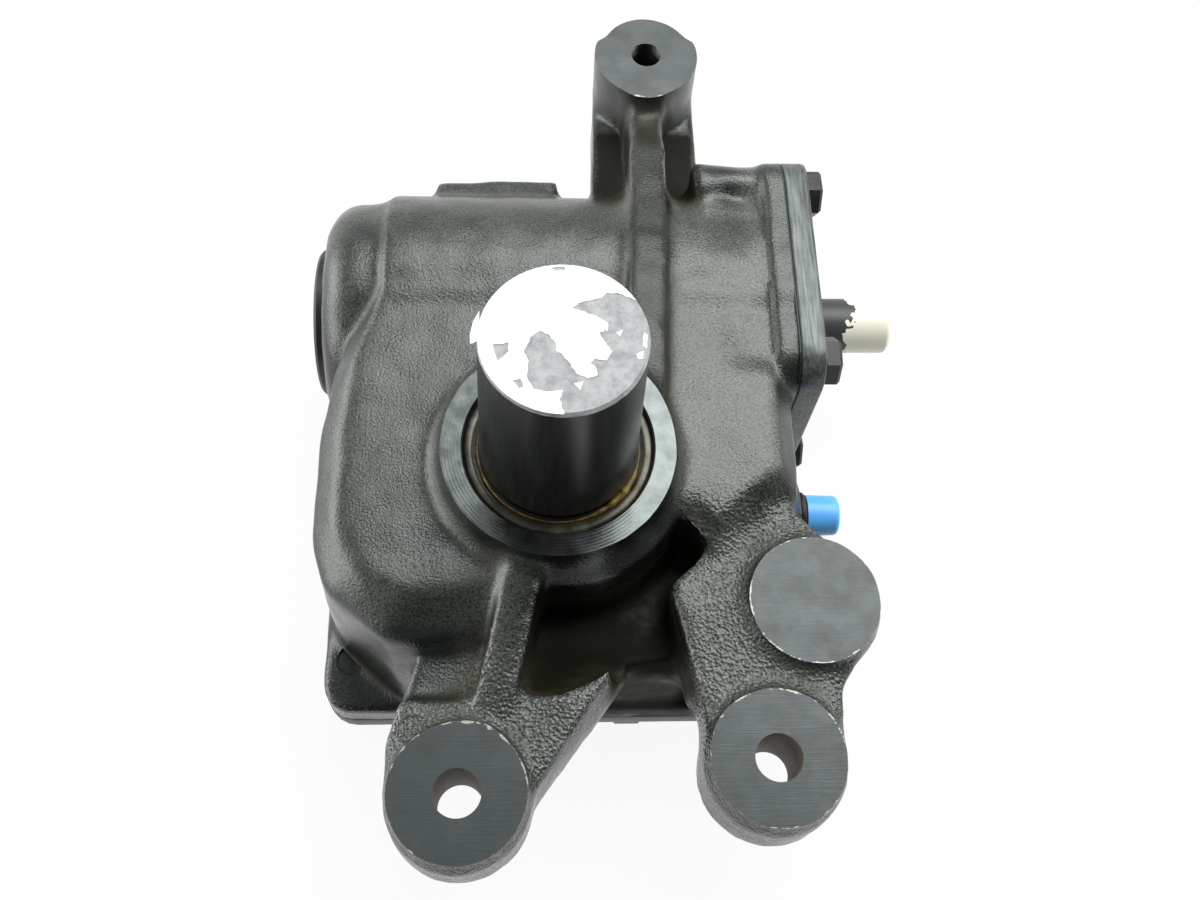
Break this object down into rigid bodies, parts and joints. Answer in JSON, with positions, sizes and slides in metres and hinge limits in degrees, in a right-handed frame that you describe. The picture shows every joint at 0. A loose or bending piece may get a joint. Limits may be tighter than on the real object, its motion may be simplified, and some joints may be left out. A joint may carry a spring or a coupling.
{
  "type": "steering gearbox",
  "caption": "Black cast steering gearbox with mounting ears, a vertical sector output shaft and a worm input shaft under shipping caps, and working recirculating-ball gear inside.",
  "frame": {"origin": "point where the sector shaft's axis meets the machined boss face round it", "axes": "+Z along the sector shaft towards its output end, +X along the worm towards the input shaft, +Y from the sector shaft towards the worm and the top ear"},
  "size_m": [0.2603, 0.388, 0.207],
  "materials": {
    "painted_casting": "satin black paint over a sand casting",
    "machined_iron": "machined grey iron with thin black paint",
    "steel": "ground steel",
    "dark_steel": "dark satin steel",
    "bronze": "plain bearing bronze",
    "seal_rubber": "matt black rubber",
    "gasket": "matt fibre",
    "black_cap": "black plastic with flaked paint",
    "cream_cap": "cream plastic",
    "black_fitting": "black plastic",
    "blue_plug": "bright blue plastic"
  },
  "bodies": {
    "housing": {"housing": "painted_casting", "side_cover": "painted_casting", "side_cover_gasket": "gasket", "side_cover_bolts": "dark_steel", "end_cover": "machined_iron", "end_cover_shims": "steel", "end_cover_bolts": "dark_steel", "end_plug": "dark_steel", "front_bushing": "bronze", "rear_bushing": "bronze", "thrust_washer": "bronze", "sector_seal": "steel", "sector_seal_lip": "seal_rubber", "adjusting_screw": "dark_steel", "adjuster_locknut": "dark_steel", "input_bearing_outer_race": "steel", "closed_bearing_outer_race": "steel", "input_seal": "seal_rubber", "port_fitting": "black_fitting", "port_o_ring": "seal_rubber"},
    "sector": {"sector_shaft": "steel"},
    "worm": {"worm_shaft": "steel", "input_bearing_inner_race": "steel", "closed_bearing_inner_race": "steel"},
    "nut": {"ball_nut": "steel", "recirculating_balls": "steel", "ball_return_guide": "steel", "guide_clamp": "steel", "guide_clamp_screws": "dark_steel"},
    "input_cage": {"input_bearing_cage": "bronze"},
    "closed_cage": {"closed_bearing_cage": "bronze"},
    "sector_cap": {"sector_shaft_cap": "black_cap"},
    "input_cap": {"input_shaft_cap": "cream_cap"},
    "plug": {"port_plug": "blue_plug"}
  },
  "joints": [
    {"name": "sector_turn", "type": "hinge", "parent": "housing", "child": "sector", "pos_m": [0, 0, 0], "axis": [0, 0, 1], "range_deg": [-40, 40]},
    {"name": "nut_slide", "type": "slide", "parent": "housing", "child": "nut", "axis": [1, 0, 0], "range_m": [-0.0419, 0.0419]},
    {"name": "worm_turn", "type": "hinge", "parent": "housing", "child": "worm", "pos_m": [0, 0.095, -0.069], "axis": [1, 0, 0], "range_deg": [-960.1, 960.1]},
    {"name": "input_cage_turn", "type": "hinge", "parent": "housing", "child": "input_cage", "pos_m": [0.0956, 0.095, -0.069], "axis": [1, 0, 0], "range_deg": [-393, 393]},
    {"name": "closed_cage_turn", "type": "hinge", "parent": "housing", "child": "closed_cage", "pos_m": [-0.0938, 0.095, -0.069], "axis": [1, 0, 0], "range_deg": [-393, 393]},
    {"name": "sector_cap_off", "type": "slide", "parent": "sector", "child": "sector_cap", "axis": [0, 0, 1], "range_m": [0, 0.085]},
    {"name": "input_cap_off", "type": "slide", "parent": "worm", "child": "input_cap", "axis": [1, 0, 0], "range_m": [0, 0.045]},
    {"name": "plug_off", "type": "slide", "parent": "housing", "child": "plug", "axis": [1, 0, 0], "range_m": [0, 0.02]}
  ],
  "couplings": [
    {"joint": "nut_slide", "follows": "sector_turn", "m_per_rad": -0.06},
    {"joint": "worm_turn", "follows": "sector_turn", "ratio": 24},
    {"joint": "input_cage_turn", "follows": "sector_turn", "ratio": 9.8182},
    {"joint": "closed_cage_turn", "follows": "sector_turn", "ratio": 9.8182}
  ]
}
